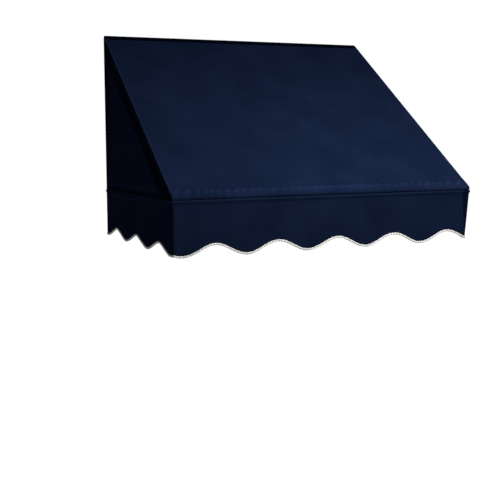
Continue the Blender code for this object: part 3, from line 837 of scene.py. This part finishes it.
def make_head_flap():
    low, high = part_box("head_flap")
    behind, below = -high[1] + INSET, low[2] + INSET
    profile = [(behind, high[2] - 0.0004), (behind, below), (-low[1], below)]
    flat, q, z, x = sleeve(profile, FOLD_RADII, low[0], high[0], 0.0)
    middle_x, middle_z = (x[:-1, :-1] + x[1:, 1:]) / 2, (z[:-1, :-1] + z[1:, 1:]) / 2
    kept = np.ones(middle_x.shape, dtype=bool)
    for place in ("left", "middle", "right"):
        centre = np.mean(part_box("head_bracket_" + place), axis=0)[0]
        kept &= (np.abs(middle_x - centre) > SLOT_HALF) | (middle_z > SLOT_TOP)
    sew_panel("head_flap_canvas", np.stack([x, -q, z], axis=-1), flat,
              ["head_flap"], kept=kept)


def make_back_strips():
    for name, side in SIDES:
        low, high, inner, outer = side_box("back_wrap_" + name)
        behind = -high[1] + INSET
        profile = [(outer - 0.0002, behind), (inner, behind), (inner, -low[1])]
        flat, x, q, z = sleeve(profile, FOLD_RADII, low[2], high[2], 0.0)
        sew_panel("back_strip_" + name, np.stack([side * x, -q, z], axis=-1), flat,
                  ["back_wrap_" + name])


make_front_pockets()
make_arm_pockets()
make_head_flap()
make_back_strips()


# The stitching: rows of lock stitch in navy polyester thread, a shade paler than the canvas.
# Each stitch is a short capsule that lies on the cloth, and each row is one mesh.
STITCH_LENGTH = 0.0036
STITCH_STEP = 0.0052
THREAD_RADIUS = 0.00042
THREAD_COLOURS = ((0.0065, 0.0125, 0.0350), (0.0135, 0.0245, 0.0660))


def thread_look():
    """Twisted thread: fine noise between two navies, with a slight shine."""
    look, tree, shader = new_look("thread_polyester")
    shader.inputs["Specular IOR Level"].default_value = 0.02
    place = tree.nodes.new("ShaderNodeTexCoord")
    twist = noise_node(tree, place.outputs["Object"], 1.0, 2.0, (1500, 1500, 1500))
    tree.links.new(two_tone(tree, THREAD_COLOURS, twist), shader.inputs["Base Color"])
    rough = math_node(tree, "ADD", math_node(tree, "MULTIPLY", twist, 0.2), 0.5)
    tree.links.new(rough, shader.inputs["Roughness"])
    return look


thread = thread_look()


def stitch_row(name, path, outward):
    """Capsules end to end along a path: rings of six points, small at both ends, with caps."""
    spots = even_along(path, STITCH_STEP)[1]
    lead = unit(np.diff(spots, axis=0))
    out = unit(outward - lead * (lead @ outward)[:, None])
    turns = np.arange(6)[:, None] * np.pi / 3
    ring = np.cross(lead, out)[:, None] * np.cos(turns) + out[:, None] * np.sin(turns)
    along = np.array([-0.5, -0.32, 0.32, 0.5])[:, None, None] * STITCH_LENGTH
    size = np.array([0.35, 1.0, 1.0, 0.35])[:, None, None] * THREAD_RADIUS
    middle = (spots[:-1] + spots[1:]) / 2 + out * (THREAD_RADIUS * 0.55 + CANVAS_THICKNESS / 2)
    points = middle[:, None, None] + lead[:, None, None] * along + ring[:, None] * size
    index = np.arange(len(middle) * 24).reshape(-1, 4, 6)
    following = np.roll(index, -1, axis=2)
    quads = np.stack([index[:, :-1], index[:, 1:], following[:, 1:], following[:, :-1]], axis=-1)
    caps = np.concatenate([index[:, 0], index[:, 3, ::-1]])
    add_solid(name, points, quads.reshape(-1, 4).tolist() + caps.tolist(), thread)


row_x = np.linspace(-HALF + 0.006, HALF - 0.006, 300)
roof_out = (0, -SIN_ROOF, COS_ROOF)
stitch_row("stitches_bar_pocket", roof_points(row_x, np.full(300, band_run - 0.0012)), roof_out)
stitch_row("stitches_head", roof_points(row_x, np.full(300, HEAD_STRIP + 0.006)), roof_out)
for row_name, row_side in SIDES:
    row_q = np.linspace(0.006, 0.69, 200)
    rake_s = np.interp(row_q, roof_path[:, 0], roof_run)
    rake_at = np.full(200, row_side * (HALF + 0.0135))
    stitch_row("stitches_rake_" + row_name, roof_points(rake_at, rake_s)[6:], (row_side, 0, 0))
    arm_row = cheek_points(row_side, row_q, np.full(200, POCKET_TOP + 0.0015))[:132]
    stitch_row("stitches_arm_" + row_name, arm_row, (row_side, 0, 0))
    hem_z = np.linspace(SEAM + 0.006, ROOF_EDGE - 0.03, 120)
    hem_row = cheek_points(row_side, np.full(120, BACK_HEM - 0.002), hem_z)
    stitch_row("stitches_back_" + row_name, hem_row, (row_side, 0, 0))
    below_welt = np.full(160, WELT_SHARE + 0.03)
    seam_row = side_points(row_name, row_side, np.linspace(0.01, 0.96, 160), below_welt)[0]
    stitch_row("stitches_seam_" + row_name, seam_row, (row_side, 0, 0))
front_row = front_points(np.linspace(-0.99, 0.95, 300), np.full(300, WELT_SHARE + 0.03))
stitch_row("stitches_seam_front", front_row, (0, -1, 0))


# The binding: an off-white cotton cord that is sewn over the valance's cut edge from end to end.
# It is laid from three strands, each a round tube that winds about the hem line.
STRANDS = 3
STRAND_RADIUS = 0.00185
LAY_RADIUS = 0.00165
LAY_LENGTH = 0.0300
CORD_STEP = 0.0012
BINDING_COLOURS = ((0.93, 0.91, 0.85), (0.97, 0.965, 0.94))


def cord_look():
    """Off-white cotton with fine fibres along the cord and slow patches."""
    look, tree, shader = new_look("binding_cotton")
    shader.inputs["Roughness"].default_value = 0.85
    shader.inputs["Specular IOR Level"].default_value = 0.2
    place = uv_place(tree)
    fibre = noise_node(tree, place, 1.0, 3.0, (900, 160, 1))
    patch = noise_node(tree, place, 30.0, 2.0)
    tone = math_node(tree, "MULTIPLY", math_node(tree, "ADD", fibre, patch), 0.6)
    colour = two_tone(tree, BINDING_COLOURS, math_node(tree, "ADD", tone, 0.05))
    tree.links.new(colour, shader.inputs["Base Color"])
    raise_grain(tree, shader, fibre, 0.4, 0.0003)
    return look


cotton = cord_look()


def make_binding(name, path, outward, replaced):
    """Strands laid round the hem line: each centre circles the path once every lay length."""
    run, centre = even_along(path, CORD_STEP)
    lead = unit(np.gradient(centre, axis=0))
    side = unit(outward - lead * (lead @ outward)[:, None])
    rise = np.cross(lead, side)
    phase = 2 * np.pi * (run / LAY_LENGTH + np.arange(STRANDS)[:, None] / STRANDS)[..., None]
    core = centre + LAY_RADIUS * (side * np.cos(phase) + rise * np.sin(phase))
    turns = np.arange(8)[:, None] * np.pi / 4
    ring = side[:, None] * np.cos(turns) + rise[:, None] * np.sin(turns)
    shell = core[:, :, None] + STRAND_RADIUS * ring
    index = np.arange(shell[..., 0].size).reshape(shell.shape[:3])
    following = np.roll(index, -1, axis=2)
    quads = np.stack([index[:, :-1], following[:, :-1], following[:, 1:], index[:, 1:]], axis=-1)
    caps = np.stack([index[:, 0, ::-1], index[:, -1]], axis=1).reshape(-1, 8)
    piece = add_solid(name, shell, quads.reshape(-1, 4).tolist() + caps.tolist(), cotton)
    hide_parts(replaced)
    flat = np.stack(np.broadcast_arrays(run[:, None], turns[:, 0] * STRAND_RADIUS), axis=-1)
    flat = np.broadcast_to(flat, (*index.shape, 2)).reshape(-1, 2)
    corner = np.empty(len(piece.data.loops), dtype=np.int32)
    piece.data.loops.foreach_get("vertex_index", corner)
    uv = piece.data.uv_layers.new(name="cut")
    uv.data.foreach_set("uv", flat[corner].reshape(-1).astype(np.float32))


BINDING_DROP = np.array([0, 0, -0.0022])
front_edge = front_points(np.linspace(-1, 1, 900), np.ones(900)) + BINDING_DROP
make_binding("cord_front", front_edge, (0, -1, 0), "binding_front")
for edge_name, edge_side in SIDES:
    side_edge = side_points(edge_name, edge_side, np.linspace(0.002, 1, 700), np.ones(700))[0]
    make_binding("cord_" + edge_name, side_edge + BINDING_DROP, (edge_side, 0, 0), "binding_" + edge_name)


# The metal: extruded tube, cast fittings, galvanised brackets and zinc-plated screws. The
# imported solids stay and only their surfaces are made: drawing lines, grain, spangle and scuffs.
TUBE_COLOURS = ((0.24, 0.245, 0.25), (0.44, 0.445, 0.45))
CAST_COLOURS = ((0.17, 0.175, 0.18), (0.32, 0.325, 0.33))
GALVANISED_COLOURS = ((0.20, 0.21, 0.22), (0.46, 0.475, 0.49))
PLATED_COLOURS = ((0.34, 0.32, 0.26), (0.56, 0.54, 0.46))
SCUFF_SCALE = 18.0
CRYSTAL_SCALE = 160.0


def make_metal_group():
    """Grain, scuffs and zinc crystals.

    Grain is noise on a stretched vector, scuffs are broad noise, and each crystal is a cell
    with one random tone. Tone mixes the three, Rough is the base plus scuffs, Grain is a height.
    """
    tree, entry, leave = new_group("metal_surface", (
        ("Vector", "Vector", None), ("Stretch", "Vector", (1, 1, 1)), ("Scale", "Float", 300.0),
        ("Crystals", "Float", 0.0), ("Base", "Float", 0.3)), ("Tone", "Rough", "Grain"))
    drawn = new_node(tree, "ShaderNodeVectorMath", {0: entry["Vector"], 1: entry["Stretch"]})
    drawn.operation = "MULTIPLY"
    grain = new_node(tree, "ShaderNodeTexNoise", {
        "Detail": 4.0, "Vector": drawn.outputs[0], "Scale": entry["Scale"]}).outputs["Fac"]
    scuff = noise_node(tree, entry["Vector"], SCUFF_SCALE, 5.0)
    cells = new_node(tree, "ShaderNodeTexVoronoi", {"Scale": CRYSTAL_SCALE, "Vector": entry["Vector"]})
    bright = new_node(tree, "ShaderNodeSeparateXYZ", {0: cells.outputs["Color"]})
    plain = math_node(tree, "ADD", math_node(tree, "MULTIPLY", grain, 0.6),
                      math_node(tree, "MULTIPLY", scuff, 0.4))
    away = math_node(tree, "SUBTRACT", bright.outputs[0], plain)
    tone = math_node(tree, "ADD", plain, math_node(tree, "MULTIPLY", away, entry["Crystals"]))
    rough = math_node(tree, "ADD", math_node(tree, "MULTIPLY", scuff, 0.3), entry["Base"])
    for name, value in (("Tone", tone), ("Rough", rough), ("Grain", grain)):
        tree.links.new(value, leave[name])
    return tree


metal_group = make_metal_group()


def metal_look(name, colours, base, stretch, scale, depth, crystals=0.0):
    """Metal between two tones of one colour, its grain raised by a bump."""
    look, tree, shader = new_look(name)
    shader.inputs["Metallic"].default_value = 1.0
    place = tree.nodes.new("ShaderNodeTexCoord")
    surface = tree.nodes.new("ShaderNodeGroup")
    surface.node_tree = metal_group
    for key, value in (("Stretch", stretch), ("Scale", scale), ("Crystals", crystals), ("Base", base)):
        surface.inputs[key].default_value = value
    tree.links.new(place.outputs["Object"], surface.inputs["Vector"])
    tree.links.new(two_tone(tree, colours, surface.outputs["Tone"]), shader.inputs["Base Color"])
    tree.links.new(surface.outputs["Rough"], shader.inputs["Roughness"])
    raise_grain(tree, shader, surface.outputs["Grain"], 0.3, depth)
    return look


def dress(starts, look):
    """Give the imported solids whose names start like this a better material."""
    for name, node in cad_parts.items():
        if name.startswith(starts):
            for holder in node.material_slots:
                holder.material = look


tube_across = metal_look("tube_drawn_across", TUBE_COLOURS, 0.30, (2, 300, 300), 1.0, 0.0002)
tube_upright = metal_look("tube_drawn_upright", TUBE_COLOURS, 0.30, (300, 300, 2), 1.0, 0.0002)
tube_outward = metal_look("tube_drawn_outward", TUBE_COLOURS, 0.30, (300, 2, 300), 1.0, 0.0002)
cast_look = metal_look("cast_grain", CAST_COLOURS, 0.45, (1, 1, 1), 900.0, 0.0004)
spangle = metal_look("galvanised_spangle", GALVANISED_COLOURS, 0.36, (1, 1, 1), 300.0, 0.0002, 0.5)
plated = metal_look("screw_plating", PLATED_COLOURS, 0.28, (1, 1, 1), 700.0, 0.0001)

dress(("head_bar", "front_bar"), tube_across)
dress("upright", tube_upright)
dress(("side_arm", "rafter"), tube_outward)
dress(("corner", "elbow", "tee"), cast_look)
dress(("head_bracket", "foot_bracket"), spangle)
dress("lag_screw", plated)


# The joint screws: pan-head drilling screws of plated steel, one through the wall of each open
# tube end into the plug of its fitting. Each head has a cross recess for the driver.
HEAD_RADIUS = 0.0040
HEAD_HEIGHT = 0.0025
HEAD_SUNK = 0.0002
RECESS = 0.0014
JOINT_INSET = 0.016


def joint_screws(name, seats, axes):
    """Screw heads on their seats.

    At a share r of the radius a head's height is the root of one less r to the fourth. The
    cross is cut where either flat distance is small, and fades out at three fifths of r.
    """
    r, turn = np.meshgrid(np.linspace(0, 1, 19)[1:], np.arange(48) * np.pi / 24, indexing="ij")
    u, v = r * np.cos(turn), r * np.sin(turn)
    cross = ease((0.18 - np.minimum(np.abs(u), np.abs(v))) / 0.08) * ease((0.66 - r) / 0.12)
    height = HEAD_HEIGHT * np.sqrt(1 - r ** 4) - RECESS * cross - HEAD_SUNK
    flat_u = np.concatenate([[0], u.reshape(-1)]) * HEAD_RADIUS
    flat_v = np.concatenate([[0], v.reshape(-1)]) * HEAD_RADIUS
    height = np.concatenate([[HEAD_HEIGHT - RECESS - HEAD_SUNK], height.reshape(-1)])
    axes = np.asarray(axes, float)
    side = np.where(np.abs(axes[:, :1]) > 0.5, [[0.0, 1.0, 0.0]], [[1.0, 0.0, 0.0]])
    rise = np.cross(axes, side)
    twist = (np.arange(len(axes)) * 0.7)[:, None]
    side, rise = side * np.cos(twist) + rise * np.sin(twist), rise * np.cos(twist) - side * np.sin(twist)
    points = np.asarray(seats)[:, None] + side[:, None] * flat_u[None, :, None] \
        + rise[:, None] * flat_v[None, :, None] + axes[:, None] * height[None, :, None]
    ring = 1 + np.arange(r.size).reshape(r.shape)
    following = np.roll(ring, -1, axis=1)
    quads = np.stack([ring[:-1], ring[1:], following[1:], following[:-1]], axis=-1).reshape(-1, 4)
    fan = np.stack([np.zeros(48, dtype=int), ring[0], following[0]], axis=-1)
    faces = []
    for start in range(0, points.shape[0] * points.shape[1], points.shape[1]):
        faces += (quads + start).tolist() + (fan + start).tolist() + [(ring[-1, ::-1] + start).tolist()]
    add_solid(name, points, faces, plated)


down_slope = np.array([0, -COS_ROOF, -SIN_ROOF])
under_roof = np.array([0, SIN_ROOF, -COS_ROOF])
screw_seats, screw_axes = [], []
for tube_name in ("rafter_left", "rafter_middle", "rafter_right"):
    tube_low, tube_high = np.array(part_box(tube_name))
    tube_half = np.array([0, SIN_ROOF, COS_ROOF]) * TUBE_WIDTH / 2
    tube_low[0] = tube_high[0] = (tube_low[0] + tube_high[0]) / 2
    surface_lift = under_roof * TUBE_WIDTH / 2
    screw_seats += [tube_low + tube_half - down_slope * JOINT_INSET + surface_lift,
                    tube_high - tube_half + down_slope * JOINT_INSET + surface_lift]
    screw_axes += [under_roof, under_roof]
for tube_name in ("upright_left", "upright_right"):
    tube_low, tube_high = np.array(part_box(tube_name))
    tube_middle = (tube_low[0] + tube_high[0]) / 2
    screw_seats += [np.array([tube_middle, tube_low[1], tube_low[2] + JOINT_INSET]),
                    np.array([tube_middle, tube_low[1], tube_high[2] - JOINT_INSET])]
    screw_axes += [np.array([0.0, -1.0, 0.0])] * 2
joint_screws("joint_screws", screw_seats, screw_axes)
